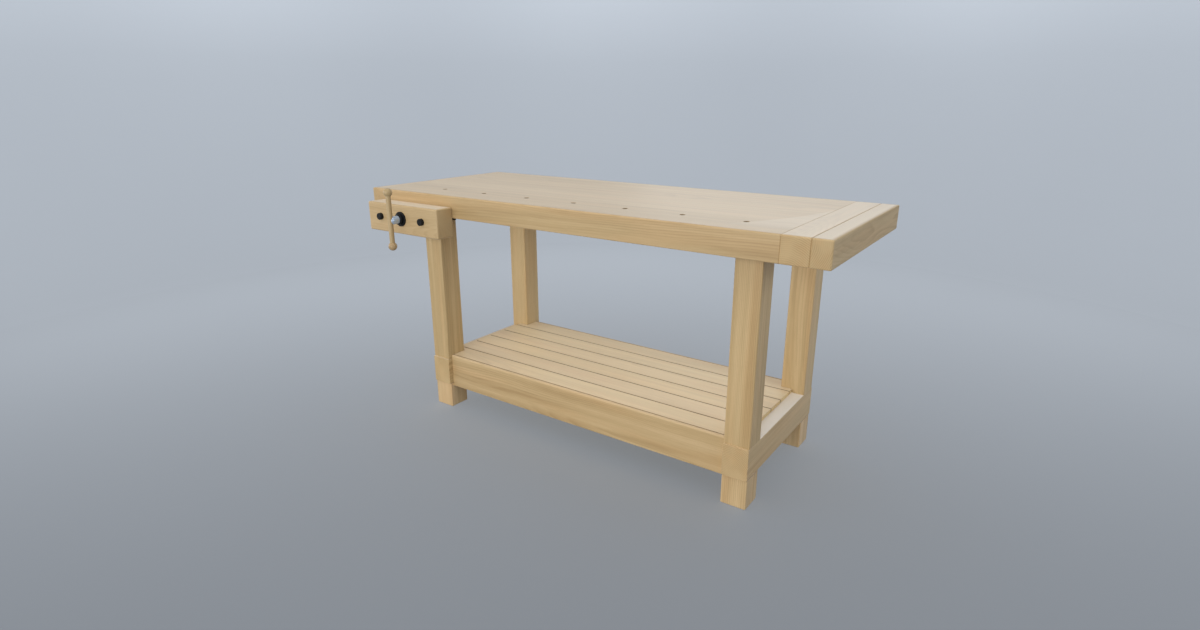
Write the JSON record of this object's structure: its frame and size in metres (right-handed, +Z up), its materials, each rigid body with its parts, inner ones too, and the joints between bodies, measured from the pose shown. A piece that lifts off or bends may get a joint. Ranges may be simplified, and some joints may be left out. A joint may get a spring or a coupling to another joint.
{
  "type": "woodworking bench with vise",
  "caption": "Heavy wooden woodworking bench: thick top with a row of round dog holes, a screw-driven face vise on guide rods, square-legged trestle base and slatted shelf.",
  "frame": {"origin": "on the floor, under the middle of the overall footprint, vise included", "axes": "+X along the bench from the vise end to the plain end, +Y to the back, +Z up"},
  "size_m": [1.84, 0.867, 0.942],
  "materials": {
    "bench_wood": "satin oil",
    "handle_wood": "turned, satin",
    "peg_wood": "raw",
    "steel": "bright turned",
    "plated_steel": "bright plated",
    "black_iron": "black enamel",
    "bronze": "turned"
  },
  "bodies": {
    "bench": {"casting_lags": "steel", "foot_back_left": "bench_wood", "foot_back_right": "bench_wood", "foot_front_left": "bench_wood", "foot_front_right": "bench_wood", "guide_bushes": "bronze", "left_end_cap": "bench_wood", "leg_back_left": "bench_wood", "leg_back_right": "bench_wood", "leg_front_left": "bench_wood", "leg_front_right": "bench_wood", "rail_dowels": "peg_wood", "right_end_cap": "bench_wood", "right_end_rail": "bench_wood", "shelf_bearer": "bench_wood", "side_beam_left": "bench_wood", "side_beam_right": "bench_wood", "slat_1": "bench_wood", "slat_2": "bench_wood", "slat_3": "bench_wood", "slat_4": "bench_wood", "slat_5": "bench_wood", "slat_6": "bench_wood", "stretcher_back": "bench_wood", "stretcher_front": "bench_wood", "stretcher_pegs": "peg_wood", "tongue_pegs": "peg_wood", "top_dog_board": "bench_wood", "top_field": "bench_wood", "vise_casting": "black_iron", "vise_nut": "bronze"},
    "jaw": {"vise_jaw": "bench_wood", "guide_rod_left": "steel", "guide_rod_right": "steel", "rod_caps": "black_iron", "rod_stop_pins": "steel", "screw_collar": "black_iron"},
    "screw": {"vise_screw": "steel", "screw_hub": "plated_steel", "hub_pin": "steel"},
    "handle": {"handle_bar": "handle_wood", "handle_knob_top": "handle_wood", "handle_knob_bottom": "handle_wood"}
  },
  "joints": [
    {"name": "jaw_slide", "type": "slide", "parent": "bench", "child": "jaw", "axis": [0, -1, 0], "range_m": [0, 0.12]},
    {"name": "screw_turn", "type": "hinge", "parent": "jaw", "child": "screw", "pos_m": [-0.667, -0.3685, 0.822], "axis": [0, -1, 0], "range_deg": [0, 8640]},
    {"name": "handle_slide", "type": "slide", "parent": "screw", "child": "handle", "axis": [0, 0, 1], "range_m": [-0.0755, 0.0675]}
  ],
  "couplings": [
    {"joint": "screw_turn", "follows": "jaw_slide", "rad_per_m": 1256.6}
  ]
}
